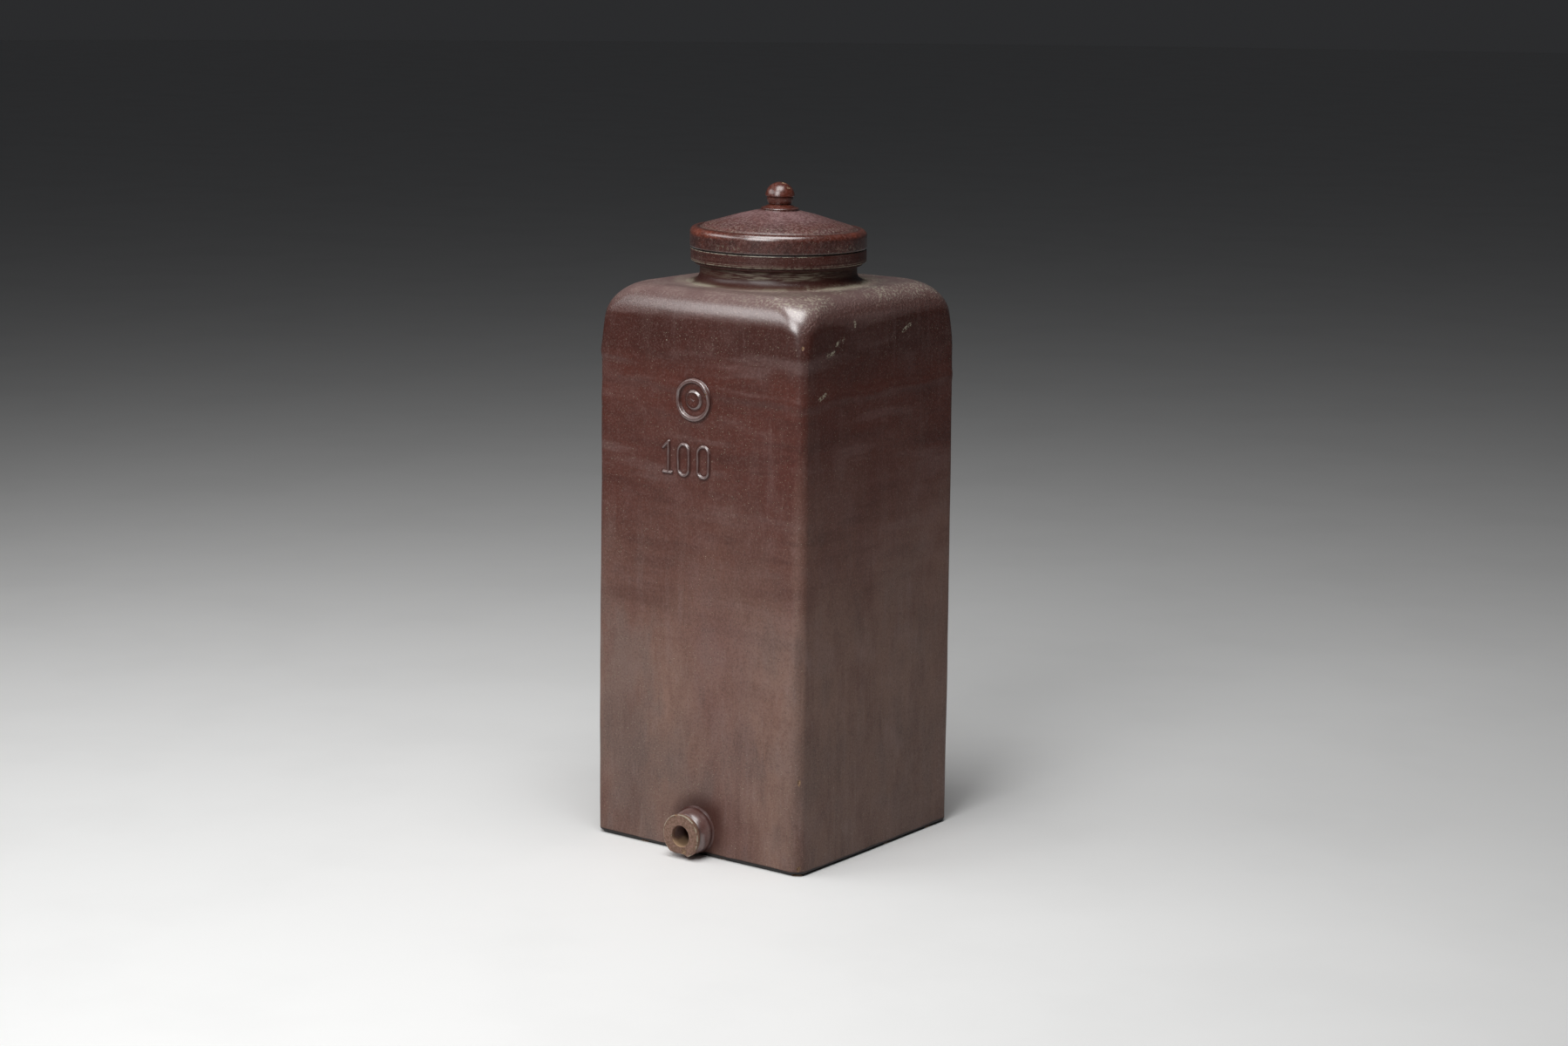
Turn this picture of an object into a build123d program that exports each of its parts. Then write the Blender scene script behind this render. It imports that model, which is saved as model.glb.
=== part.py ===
from build123d import *
from math import cos, radians, sin
import os

os.makedirs("parts", exist_ok=True)

# A square stoneware storage jar of about a hundred litres, with a round lid and an outlet at its foot.
# Millimetres, +Z up. The origin is on the floor at the middle of the square body, the outlet faces -Y.

# Square body, built of four mitred slabs round a floor slab
jar_side = 390
wall_height = 725
wall_draw_in = 2.2
wall_thickness = 20
corner_radius = 15
inner_corner_radius = 12
base_chamfer = 5
floor_thickness = 18

# Moulded shoulder, whose corners open out into a wide radius as the faces turn over
shoulder_height = 118.5
shoulder_thickness = 20
shoulder_face_rise = 48
shoulder_face_across = 40
shoulder_corner_rise = 102
shoulder_corner_radius = 52
shoulder_inner_corner_radius = 40
shoulder_corner_power = 1.55
shoulder_steps = 10

# Chords in each quarter round of a thrown outline
round_steps = 4
ball_steps = 6

# Thrown neck with its ground mouth flange
mouth_radius = 97
neck_radius = 117.5
neck_height = 50.5
neck_foot_radius = 24
bead_radius = 125.5
bead_height = 4
bead_rise = 26
flange_radius = 130.8
flange_height = 19
seat_bevel = 1.5

# Lid, its locating ring and its knob
seat_clearance = 0.3
lid_radius = 131.5
lid_band_height = 20
lid_roll_radius = 9
lid_groove_radius = 118
lid_groove_depth = 1.6
lid_dome_foot_radius = 111
lid_dome_foot_rise = 32
lid_dome_middle_radius = 60
lid_dome_middle_rise = 47.4
lid_dome_top_radius = 29
lid_dome_top_rise = 56
lid_thickness = 16
ring_thickness = 9
ring_depth = 16
ring_clearance = 2
ring_chamfer = 2
knob_collar_radius = 28.5
knob_collar_height = 2.5
knob_waist_radius = 15
knob_waist_rise = 7.5
knob_shank_radius = 20
knob_shank_rise = 17.5
knob_ball_radius = 21.5
knob_ball_height = 22.5

# Outlet spout
outlet_height = 36
outlet_bore_radius = 16
outlet_length = 35
outlet_flange_radius = 33
outlet_flange_thickness = 7
outlet_flange_round = 1.5
outlet_groove_radius = 25.5
outlet_groove_width = 4
outlet_boss_radius = 32
outlet_boss_length = 9
outlet_skirt = 3

# Plain sprigged roundel
roundel_drop = 40
roundel_offset = -6
roundel_radius = 32
roundel_base = 1.2
roundel_rim_width = 7
roundel_rim_height = 4.6
roundel_rim_slope = 2
roundel_button_radius = 15
roundel_button_height = 3.8

shoulder_side = jar_side - 2 * wall_draw_in
shoulder_top = wall_height + shoulder_height
seat_height = shoulder_top + neck_height
lid_seat = seat_height + seat_clearance
lid_dome_top = lid_seat + lid_dome_top_rise
ring_radius = mouth_radius - ring_clearance
roundel_height = wall_height - roundel_drop
wall_lean = wall_draw_in / (wall_height - base_chamfer)


def wall_reach(height):
    """Distance from the axis to the outer face of a wall at a height."""
    return jar_side / 2 - wall_lean * (height - base_chamfer)


def square_section(side, radius, height):
    return Plane.XY.offset(height) * RectangleRounded(side, side, radius)


def body_form():
    """The whole outside of the square body, chamfered where it stands."""
    foot_side = jar_side - 2 * base_chamfer
    return loft(
        [
            square_section(foot_side, corner_radius, 0),
            square_section(jar_side, corner_radius, base_chamfer),
            square_section(shoulder_side, corner_radius, wall_height),
        ],
        ruled=True,
    )


def body_hollow():
    """The hollow between the four walls, floor included."""
    return loft(
        [
            square_section(jar_side - 2 * wall_thickness, inner_corner_radius, 0),
            square_section(shoulder_side - 2 * wall_thickness, inner_corner_radius, wall_height),
        ],
        ruled=True,
    )


def wall_slab(turn):
    """One wall, cut from the square tube on its two mitres. Turn 0 faces +X."""
    mitre = Polyline((0, 0), (jar_side, -jar_side), (jar_side, jar_side), close=True)
    wedge = extrude(make_face(mitre), amount=wall_height)
    return (body_form() - body_hollow()) & wedge.rotate(Axis.Z, turn)


def front_plane(offset, height, lean):
    """A plane on the front wall that looks outwards, level where the lean is zero."""
    return Plane(origin=(offset, -wall_reach(height), height), x_dir=(1, 0, 0), z_dir=(0, -1, lean))


def front_wall():
    hole = front_plane(0, outlet_height, 0) * Circle(outlet_bore_radius)
    return wall_slab(-90) - extrude(hole, amount=jar_side / 2, both=True)


def floor_slab():
    return split(body_hollow(), bisect_by=Plane.XY.offset(floor_thickness), keep=Keep.BOTTOM)


def quarter_round(start, end, steps, upright_first):
    """Points of a quarter ellipse between two points, upright at one end and level at the other."""
    points = []
    for step in range(steps + 1):
        turn = radians(90 * step / steps)
        if upright_first:
            across_share, rise_share = 1 - cos(turn), sin(turn)
        else:
            across_share, rise_share = sin(turn), 1 - cos(turn)
        across = (end[0] - start[0]) * across_share
        rise = (end[1] - start[1]) * rise_share
        points.append((start[0] + across, start[1] + rise))
    return points


def shoulder_form(side, height, corner, top_corner):
    """A square whose faces turn over to a flat top while its corners open to a wide radius."""
    upright = height - shoulder_face_rise
    upright_steps = shoulder_steps // 2
    outline = [(0, upright * step / upright_steps) for step in range(upright_steps)]
    outline += quarter_round((0, upright), (shoulder_face_across, height), shoulder_steps, True)
    sections = []
    for inset, rise in outline:
        opened = max(0, rise - height + shoulder_corner_rise) / shoulder_corner_rise
        radius = corner + (top_corner - corner) * opened**shoulder_corner_power
        sections.append(square_section(side - 2 * inset, radius, wall_height + rise))
    return loft(sections, ruled=True)


def shoulder():
    outside = shoulder_form(shoulder_side, shoulder_height, corner_radius, shoulder_corner_radius)
    inside = shoulder_form(
        shoulder_side - 2 * wall_thickness,
        shoulder_height - shoulder_thickness,
        inner_corner_radius,
        shoulder_inner_corner_radius,
    )
    mouth = extrude(Plane.XY.offset(wall_height) * Circle(mouth_radius), amount=shoulder_height)
    return outside - inside - mouth


def turned(points):
    """A thrown form: its half outline, as radius and height, turned about the axis of the jar."""
    return revolve(Plane.XZ * make_face(Polyline(*points, close=True)), axis=Axis.Z)


def neck():
    foot = shoulder_top
    bead = foot + bead_rise
    band = seat_height - flange_height
    flare_start = (neck_radius + neck_foot_radius, foot)
    flare_end = (neck_radius, foot + neck_foot_radius)
    return turned(
        [
            (mouth_radius, foot),
            *quarter_round(flare_start, flare_end, round_steps, False),
            (bead_radius, bead),
            (bead_radius, bead + bead_height),
            (flange_radius, band),
            (flange_radius, seat_height - seat_bevel),
            (flange_radius - seat_bevel, seat_height),
            (mouth_radius + seat_bevel, seat_height),
            (mouth_radius, seat_height - seat_bevel),
        ]
    )


def lid():
    """A banded rim that rolls over into a groove, and a low dome that is hollow underneath."""
    band_top = lid_seat + lid_band_height
    roll_top = band_top + lid_roll_radius
    under_radius = ring_radius - ring_thickness
    under_top = lid_dome_top - lid_thickness
    roll_end = (lid_radius - lid_roll_radius, roll_top)
    return turned(
        [
            (under_radius, lid_seat),
            (lid_radius - seat_bevel, lid_seat),
            (lid_radius, lid_seat + seat_bevel),
            *quarter_round((lid_radius, band_top), roll_end, round_steps, True),
            (lid_groove_radius, roll_top - lid_groove_depth),
            (lid_dome_foot_radius, lid_seat + lid_dome_foot_rise),
            (lid_dome_middle_radius, lid_seat + lid_dome_middle_rise),
            (lid_dome_top_radius, lid_dome_top),
            (0, lid_dome_top),
            (0, under_top),
            (lid_dome_top_radius, under_top),
            (under_radius, roll_top - lid_thickness),
        ]
    )


def lid_locating_ring():
    inner_radius = ring_radius - ring_thickness
    lower = lid_seat - ring_depth
    return turned(
        [
            (inner_radius, lid_seat),
            (inner_radius, lower),
            (ring_radius - ring_chamfer, lower),
            (ring_radius, lower + ring_chamfer),
            (ring_radius, lid_seat),
        ]
    )


def lid_knob():
    """A ball that steps in to a waisted shank, which flares out to a small collar."""
    collar_top = (knob_collar_radius - knob_collar_height, lid_dome_top + knob_collar_height)
    waist = (knob_waist_radius, lid_dome_top + knob_waist_rise)
    shank_top = lid_dome_top + knob_shank_rise
    knob_top = shank_top + knob_ball_height
    ball_side = (knob_ball_radius, knob_top - knob_ball_radius)
    return turned(
        [
            (0, lid_dome_top),
            *quarter_round((knob_collar_radius, lid_dome_top), collar_top, round_steps, True),
            *quarter_round(collar_top, waist, round_steps, False)[1:],
            *quarter_round((knob_shank_radius, shank_top), waist, round_steps, True)[-2:0:-1],
            (knob_shank_radius, shank_top),
            (knob_ball_radius, shank_top),
            *quarter_round(ball_side, (0, knob_top), ball_steps, True),
        ]
    )


def outlet_spout():
    """A flange, a groove and a rounded boss, cut off behind where the leaning wall begins."""
    root = -base_chamfer
    flange_back = outlet_length - outlet_flange_thickness
    boss = (outlet_boss_radius, outlet_boss_length)
    groove = (outlet_groove_radius, flange_back - outlet_groove_width)
    skirt_radius = outlet_boss_radius + outlet_skirt
    form = turned(
        [
            (outlet_bore_radius, root),
            (skirt_radius, root),
            (skirt_radius, 0),
            (outlet_boss_radius, outlet_skirt),
            *quarter_round(boss, groove, round_steps, True),
            (outlet_groove_radius, flange_back),
            (outlet_flange_radius - outlet_flange_round, flange_back),
            (outlet_flange_radius, flange_back + outlet_flange_round),
            (outlet_flange_radius, outlet_length - outlet_flange_round),
            (outlet_flange_radius - outlet_flange_round, outlet_length),
            (outlet_bore_radius, outlet_length),
        ]
    )
    spout = front_plane(0, outlet_height, 0) * form
    return split(spout, bisect_by=front_plane(0, outlet_height, wall_lean), keep=Keep.TOP)


def roundel():
    """A plain button inside one plain raised ring."""
    rim_inner = roundel_radius - roundel_rim_width
    button_top = (0, roundel_button_height)
    form = turned(
        [
            (0, 0),
            (roundel_radius, 0),
            (roundel_radius, roundel_base),
            (roundel_radius - roundel_rim_slope, roundel_rim_height),
            (rim_inner + roundel_rim_slope, roundel_rim_height),
            (rim_inner, roundel_base),
            *quarter_round((roundel_button_radius, roundel_base), button_top, round_steps, True),
        ]
    )
    return front_plane(roundel_offset, roundel_height, wall_lean) * form


pieces = {
    "front_wall": front_wall(),
    "right_wall": wall_slab(0),
    "back_wall": wall_slab(90),
    "left_wall": wall_slab(180),
    "floor_slab": floor_slab(),
    "shoulder": shoulder(),
    "neck": neck(),
    "outlet_spout": outlet_spout(),
    "roundel": roundel(),
    "lid": lid(),
    "lid_locating_ring": lid_locating_ring(),
    "lid_knob": lid_knob(),
}

for name, piece in pieces.items():
    export_step(piece, f"parts/{name}.step")
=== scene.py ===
from math import asin, atan2, ceil, cos, exp, pi, radians, sin, sqrt, tan

import bmesh
import bpy
from bpy.props import FloatProperty, FloatVectorProperty, PointerProperty
from mathutils import Euler, Matrix, Vector, noise


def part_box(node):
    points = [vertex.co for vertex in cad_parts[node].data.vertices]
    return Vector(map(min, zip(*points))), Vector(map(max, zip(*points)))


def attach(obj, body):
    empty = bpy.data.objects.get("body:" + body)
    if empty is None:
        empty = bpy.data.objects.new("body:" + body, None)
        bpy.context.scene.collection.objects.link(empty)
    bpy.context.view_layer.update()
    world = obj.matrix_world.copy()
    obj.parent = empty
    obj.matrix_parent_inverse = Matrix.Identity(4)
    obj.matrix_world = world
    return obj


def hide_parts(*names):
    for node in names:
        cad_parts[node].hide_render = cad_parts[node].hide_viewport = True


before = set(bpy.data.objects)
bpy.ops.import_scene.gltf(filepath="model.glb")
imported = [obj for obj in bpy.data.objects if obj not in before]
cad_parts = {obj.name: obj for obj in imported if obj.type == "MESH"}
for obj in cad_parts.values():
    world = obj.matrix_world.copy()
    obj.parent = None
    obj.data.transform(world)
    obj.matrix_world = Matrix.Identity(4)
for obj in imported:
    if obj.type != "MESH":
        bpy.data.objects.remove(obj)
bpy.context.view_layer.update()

bl_info = {
    "name": "Stoneware storage jar",
    "version": (1, 0, 0),
    "blender": (4, 5, 0),
    "location": "View3D > Sidebar > Jar",
    "description": "Dresses the packed frame of a square stoneware jar with fired clay and glaze",
    "category": "Object",
}

# Lengths are in metres. The frame gives every size that it can.
MM = 0.001
JAR_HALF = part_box("right_wall")[1].x
FLOOR_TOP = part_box("floor_slab")[1].z
WALL_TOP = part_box("shoulder")[0].z
SHOULDER_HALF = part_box("shoulder")[1].x
SHOULDER_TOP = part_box("shoulder")[1].z
SEAT_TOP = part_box("neck")[1].z
FLANGE_FOOT = SEAT_TOP - 19 * MM
LID_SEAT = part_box("lid")[0].z
LID_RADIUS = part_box("lid")[1].x
DOME_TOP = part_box("lid")[1].z
KNOB_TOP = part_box("lid_knob")[1].z
SPOUT_FACE = -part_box("outlet_spout")[0].y
SPOUT_HEIGHT = sum(corner.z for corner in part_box("outlet_spout")) / 2
ROUNDEL_MIDDLE = (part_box("roundel")[0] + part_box("roundel")[1]) / 2

# Camera of the photograph, as it was fitted to the edges of the jar
PHOTO_WIDTH = 1799
PHOTO_FOCAL = 3608.92
VIEW_AZIMUTH = radians(37.26)
CAMERA_DISTANCE = 4.6754
CAMERA_HEIGHT = 1.38138
CAMERA_PITCH = radians(10.97)
CAMERA_ASIDE = radians(0.14)
CAMERA_ROLL = radians(0.48)
SENSOR_WIDTH = 36

# Lamps: power in watts, width and depth in metres, turn to the right of the front and height in degrees
LAMPS = {
    "key": (43, 1.4, 1.6, 12, 38),
    "fill": (20, 2, 1.1, -45, 38),
    "top": (56, 1.8, 1.8, 28, 76),
}

# Slopes at which the neck and the lid were joined askew
NECK_LEAN = 0.007
LID_LEAN = 0.010

FULL_TURN = 2 * pi
ARC_STEP = radians(15)
SHARP_ANGLE = radians(38)
# A higher power keeps the shoulder's corners tight for longer before they open out
CORNER_POWER = 1.55


def tint(red, green, blue):
    """A colour as the eye names it, 0 to 255, as the linear colour that a shader takes."""
    shares = (red / 255, green / 255, blue / 255)
    return tuple(s / 12.92 if s <= 0.04045 else ((s + 0.055) / 1.055) ** 2.4 for s in shares)


def length(name, description, millimetres):
    return FloatProperty(name=name, description=description, default=millimetres * MM, unit="LENGTH")


def colour(name, description, *shade):
    return FloatVectorProperty(
        name=name, description=description, default=tint(*shade), subtype="COLOR", size=3, min=0, max=1
    )


class JarBodySizes(bpy.types.PropertyGroup):
    """Sizes of the square body, its shoulder and its neck."""

    corner_rounding: length("Corner rounding", "Radius of the upright edges", 15)
    inner_rounding: length("Inner rounding", "Radius of the upright edges inside", 12)
    foot_chamfer: length("Foot chamfer", "Width of the bevel where the jar stands", 5)
    wall: length("Wall", "Thickness of the walls and the shoulder", 20)
    face_rise: length("Face rise", "Height in which a face turns over to the top", 48)
    face_across: length("Face across", "Distance in which a face turns over to the top", 40)
    corner_rise: length("Corner rise", "Height in which the corners open out", 102)
    top_rounding: length("Top rounding", "Radius of the corners at the top of the shoulder", 52)
    top_rounding_inside: length("Top rounding inside", "The same radius inside", 40)
    neck_radius: length("Neck radius", "Outer radius of the neck", 117.5)
    flare_across: length("Flare across", "Width of the sweep at the foot of the neck", 17)
    flare_rise: length("Flare rise", "Height of the sweep at the foot of the neck", 14)
    bead_radius: length("Bead radius", "Radius of the bead under the flange", 125.5)
    bead_top: length("Bead top", "Height of the top of the bead over the shoulder", 30)
    flange_radius: length("Flange radius", "Radius of the flange that the lid sits on", 131.3)
    flange_height: length("Flange height", "Height of the band round the flange", 19)
    mouth_radius: length("Mouth radius", "Radius of the mouth", 97)
    seat_bevel: length("Seat bevel", "Worn bevel at the edges of the seat", 1.5)


class JarLidSizes(bpy.types.PropertyGroup):
    """Sizes of the lid and its knob."""

    band: length("Band", "Height of the upright band", 20)
    roll: length("Roll", "Radius of the roll over the band", 9)
    groove_radius: length("Groove radius", "Radius of the groove inside the roll", 118)
    groove_depth: length("Groove depth", "Depth of the groove", 1.8)
    dome_foot_radius: length("Dome foot radius", "Radius where the dome begins", 111)
    dome_foot_rise: length("Dome foot rise", "Height of the dome's foot over the seat", 32)
    dome_middle_radius: length("Dome middle radius", "Radius halfway up the dome", 60)
    dome_middle_rise: length("Dome middle rise", "Height there over the seat", 47.4)
    under_radius: length("Under radius", "Radius of the hollow under the lid", 86)
    thickness: length("Thickness", "Thickness of the dome", 16)
    collar_radius: length("Collar radius", "Radius of the knob's collar", 28.5)
    collar_height: length("Collar height", "Height of the knob's collar", 2.5)
    waist_radius: length("Waist radius", "Radius of the knob's waist", 15)
    waist_rise: length("Waist rise", "Height of the waist over the dome", 7.5)
    shank_radius: length("Shank radius", "Radius of the cup under the ball", 20)
    shank_rise: length("Shank rise", "Height of the seam under the ball over the dome", 17.5)
    ball_radius: length("Ball radius", "Radius of the knob's ball", 21.5)
    ball_bulge: length("Ball bulge", "How far the ball is wider than round", 0.7)
    lid_shift: length("Lid shift", "How far the lid lies off the axis", -0.4)
    knob_shift: length("Knob shift", "How far the knob was stuck on off the axis", 1.6)


class JarSpoutSizes(bpy.types.PropertyGroup):
    """Sizes of the outlet spout."""

    bore_radius: length("Bore radius", "Radius of the hole", 16)
    flange_radius: length("Flange radius", "Radius of the flange", 33)
    flange_thickness: length("Flange thickness", "Thickness of the flange", 7)
    groove_radius: length("Groove radius", "Radius of the groove behind the flange", 25.5)
    groove_width: length("Groove width", "Width of the groove", 4)
    boss_radius: length("Boss radius", "Radius of the boss", 33.5)
    boss_length: length("Boss length", "Straight length of the boss", 9)
    skirt: length("Skirt", "Sweep where the boss meets the wall", 3.2)
    boss_lift: length("Boss lift", "How far the root of the boss lies over the axis", 2.2)


class JarReliefSizes(bpy.types.PropertyGroup):
    """Sizes of the roundel and the raised numerals."""

    roundel_radius: length("Roundel radius", "Outer radius of the ring", 32)
    ring_width: length("Ring width", "Width of the raised ring", 7)
    ring_height: length("Ring height", "Height of the raised ring", 4.6)
    button_radius: length("Button radius", "Radius of the button", 15)
    button_height: length("Button height", "Height of the button", 3.8)
    stroke: length("Stroke", "Half width of a raised stroke", 2.1)
    stroke_height: length("Stroke height", "Height of a raised stroke", 3.2)


class JarColours(bpy.types.PropertyGroup):
    """Colours of the fired clay and the glaze, and the colours laid on as painted shade and painted
    sheen.
    """

    oxblood: colour("Oxblood", "Glaze on the upper walls", 79, 35, 25)
    cool: colour("Cool grey", "Grey clouds on the lower walls", 108, 89, 82)
    plum: colour("Plum", "Purple zones on the lower walls", 96, 62, 62)
    # It is also laid on as painted shade on the neck's sweep under the flange
    deep: colour("Deep oxblood", "Thick glaze under the edge of the shoulder", 59, 23, 15)
    greyed: colour("Greyed brown", "Thin glaze on the lower walls", 134, 103, 90)
    # Towards the floor it is also laid on as painted shade
    dark_iron: colour("Dark iron", "Iron spots and pooled glaze", 36, 18, 14)
    # On the shoulder's top it also stands in for painted reflection, and on the relief for a painted
    # highlight
    bloom: colour("Bloom", "Purple grey skin of what faces up", 148, 126, 123)
    dome: colour("Dull purple", "Dull skin of the lid's dome", 126, 94, 95)
    # Painted sheen: this colour is a highlight painted where the shoulder rolls over
    sheen: colour("Sheen", "Worn glaze where the shoulder rolls over", 150, 118, 112)
    orange_rim: colour("Orange rim", "Thin glaze on the roll of the lid", 122, 58, 40)
    deposit: colour("Deposit", "Pale crust of lime and dust", 172, 166, 146)
    # Painted shadow: this black is laid into the seat gap, on the lid's lower edge and where the foot
    # meets the floor
    soot: colour("Soot", "Black in the seat gap and under the foot", 20, 13, 11)
    clay: colour("Clay", "Bare clay in the chips", 178, 148, 116)
    ground: colour("Ground", "Ground stoneware", 112, 85, 68)
    inside: colour("Inside", "Brown glaze inside the jar", 74, 46, 36)
    floor: colour("Floor", "Pale floor", 242, 242, 241)
    backdrop: colour("Backdrop", "Grey round the jar", 112, 113, 116)


class JarStage(bpy.types.PropertyGroup):
    """Light on the jar."""

    light: FloatProperty(name="Light", description="Share of the lamps' power", default=1, min=0)
    distance: length("Distance", "Distance of the lamps from the middle of the jar", 2900)
    ambient: FloatProperty(name="Ambient", description="Strength of the light all round", default=0.15)


# Meshes


def rounded_outline(corners):
    """An outline through corners of (across, height, rounding), where each rounding is an arc."""
    places = [Vector(corner[:2]) for corner in corners]
    outline = [places[0]]
    roundings = [corner[2] for corner in corners[1:]]
    for before, corner, after, rounding in zip(places, places[1:], places[2:], roundings):
        if not rounding:
            outline.append(corner)
            continue
        back, ahead = (before - corner).normalized(), (after - corner).normalized()
        opening = back.angle(ahead)
        start = corner + back * rounding / tan(opening / 2)
        middle = corner + (back + ahead).normalized() * rounding / sin(opening / 2)
        sense = -1 if back.cross(ahead) > 0 else 1
        steps = ceil((pi - opening) / ARC_STEP)
        for step in range(steps + 1):
            turn = Matrix.Rotation(sense * (pi - opening) * step / steps, 2)
            outline.append(middle + turn @ (start - middle))
    return outline + [places[-1]]


def spaced(outline, spacing):
    """The same outline with more points, so that none is further from the next than the spacing."""
    points = [outline[0]]
    for start, end in zip(outline, outline[1:]):
        steps = max(1, ceil((end - start).length / spacing))
        points += [start.lerp(end, step / steps) for step in range(1, steps + 1)]
    return points


def quarter(start, end, steps, level_first):
    """Places on a quarter of an ellipse, without its start, which it leaves level or upright."""
    places = []
    for step in range(1, steps + 1):
        turn = pi / 2 * step / steps
        shares = (sin(turn), 1 - cos(turn)) if level_first else (1 - cos(turn), sin(turn))
        places.append(Vector([a + (b - a) * share for a, b, share in zip(start, end, shares)]))
    return places


def skin(name, rings, first_pole=None, last_pole=None, closed=False):
    """A closed skin over rings of points. Poles close its ends, or its last ring joins its first."""
    columns = len(rings[0])
    points = [point for ring in rings for point in ring]
    faces = []
    pairs = [(row, row + 1) for row in range(len(rings) - 1)]
    if closed:
        pairs.append((len(rings) - 1, 0))
    for row, above in pairs:
        for column in range(columns):
            beside = (column + 1) % columns
            corners = (row, column), (row, beside), (above, beside), (above, column)
            faces.append([r * columns + c for r, c in corners])
    for pole, row, order in ((first_pole, 0, -1), (last_pole, len(rings) - 1, 1)):
        if pole is not None:
            points.append(pole)
            for column in range(columns):
                pair = [row * columns + column, row * columns + (column + 1) % columns]
                faces.append(pair[::order] + [len(points) - 1])
    return added(name, points, faces)


def added(name, points, faces):
    """A piece of those faces in the scene, shaded smooth but for its sharp edges."""
    mesh = bpy.data.meshes.new(name)
    mesh.from_pydata([tuple(point) for point in points], [], faces)
    mesh.polygons.foreach_set("use_smooth", [True] * len(mesh.polygons))
    mesh.update()
    mesh.set_sharp_from_angle(angle=SHARP_ANGLE)
    return linked(name, mesh)


def linked(name, data):
    """An object in the scene that shows a mesh, a lamp or a camera."""
    item = bpy.data.objects.new(name, data)
    bpy.context.scene.collection.objects.link(item)
    return item


def askew(place):
    """The place on a neck and lid that lean a little to the right of the photograph."""
    to_left = -place.x * cos(VIEW_AZIMUTH) - place.y * sin(VIEW_AZIMUTH)
    on_neck = min(1, max(0, (place.z - SHOULDER_TOP - 10 * MM) / (25 * MM)))
    on_lid = min(1, max(0, (place.z - LID_SEAT - 3 * MM) / (22 * MM)))
    return place + Vector((0, 0, (NECK_LEAN * on_neck + LID_LEAN * on_lid) * to_left))


def round_axis(reach, height, angle):
    """The place at a distance from an upright axis, a height and an angle."""
    return Vector((reach * cos(angle), reach * sin(angle), height))


def out_of_true(size, angle, along):
    """Noise round an axis that closes on itself. The size is larger for more bumps."""
    return noise.noise(round_axis(size, along, angle))


def turned(outline, columns, placed):
    """Rings of an outline of (radius, height), with each point where the function puts it."""
    angles = [FULL_TURN * column / columns for column in range(columns)]
    return [[placed(radius, height, angle) for angle in angles] for radius, height in outline]


def thrown(name, outline, columns, middle, wobble, low, high):
    """A thrown piece, a little out of true and askew, with its poles at a low and a high place."""

    def placed(radius, height, angle):
        reach = radius + wobble * out_of_true(2, angle, 20 * height)
        return askew(middle + round_axis(reach, height, angle))

    poles = [middle + Vector((0, 0, height)) for height in (low, high)]
    return skin(name, turned(outline, columns, placed), *poles)


def clothe(piece, *makes):
    """Gives a piece its finishes, from the functions that make them."""
    piece.data.materials.clear()
    for make in makes:
        piece.data.materials.append(shared(make))


def finished(piece, body, slot, makes, *nodes):
    """Gives a piece its finishes and the body that it rides on. The slot is not used."""
    clothe(piece, *makes)
    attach(piece, body)
    if nodes:
        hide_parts(*nodes)


def chip(middle, size, lean=(0, 0, 0), material_index=0):
    """A rough lump in the shape of the clay that broke off at a chip."""
    bm = bmesh.new()
    bmesh.ops.create_icosphere(bm, subdivisions=3, radius=1)
    turn = Euler([radians(angle) for angle in lean]).to_matrix()
    for vertex in bm.verts:
        rough = 1 + 0.25 * noise.noise(vertex.co * 1.5 + 900 * Vector(middle))
        vertex.co = Vector(middle) + turn @ Vector([rough * a * b * MM for a, b in zip(vertex.co, size)])
    return made(bm, "chip", material_index)


def made(bm, name, material_index):
    """The mesh of a lump that was built, with one material number on its faces."""
    for face in bm.faces:
        face.material_index = material_index
    mesh = bpy.data.meshes.new(name)
    bm.to_mesh(mesh)
    bm.free()
    return mesh


def cut_away(piece, lumps):
    """Cuts lumps of clay out of a piece. A lump's material number goes to the faces that it leaves."""
    for lump in lumps:
        for material in piece.data.materials:
            lump.materials.append(material)
        modifier = piece.modifiers.new("cut", "BOOLEAN")
        modifier.object = linked("cutter", lump)
        modifier.operation = "DIFFERENCE"
        modifier.solver = "MANIFOLD"
    settled = bpy.data.meshes.new_from_object(piece.evaluated_get(bpy.context.evaluated_depsgraph_get()))
    for modifier in piece.modifiers:
        bpy.data.objects.remove(modifier.object)
    piece.modifiers.clear()
    settled.set_sharp_from_angle(angle=SHARP_ANGLE)
    piece.data = settled


def met(piece, start, direction, stand_off=0):
    """Where a line meets the skin of a piece, or a place off it by so many millimetres."""
    bpy.context.view_layer.update()
    found, place, normal, _ = piece.ray_cast(Vector(start), Vector(direction))
    if not found:
        raise RuntimeError(f"No skin of {piece.name} lies on the line from {start}")
    return place + normal * stand_off * MM


# Form of the jar's skin


def square_reach(angle, half, corner):
    """How far a rounded square reaches from the axis at an angle."""
    turned = abs((angle + pi / 4) % (pi / 2) - pi / 4)
    straight = half - corner
    if half * tan(turned) <= straight:
        return half / cos(turned)
    along = straight * (cos(turned) + sin(turned))
    return along + sqrt(max(0, corner**2 - 2 * straight**2 + along**2))


def column_angles(half, corner, flat_columns, corner_columns):
    """Angles round the jar, evenly spread along the flat walls and close together on the corners."""
    edge = atan2(half - corner, half)
    eighth = [atan2((half - corner) * step / flat_columns, half) for step in range(flat_columns)]
    eighth += [edge + (pi / 4 - edge) * step / corner_columns for step in range(corner_columns)]
    quarter = eighth + [pi / 4] + [pi / 2 - angle for angle in reversed(eighth[1:])]
    return [turn * pi / 2 + angle for turn in range(4) for angle in quarter]


def swell(offset, width):
    """A soft rise to 1 at no offset, which fades away over the width."""
    return exp(-((offset / width) ** 2))


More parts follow.
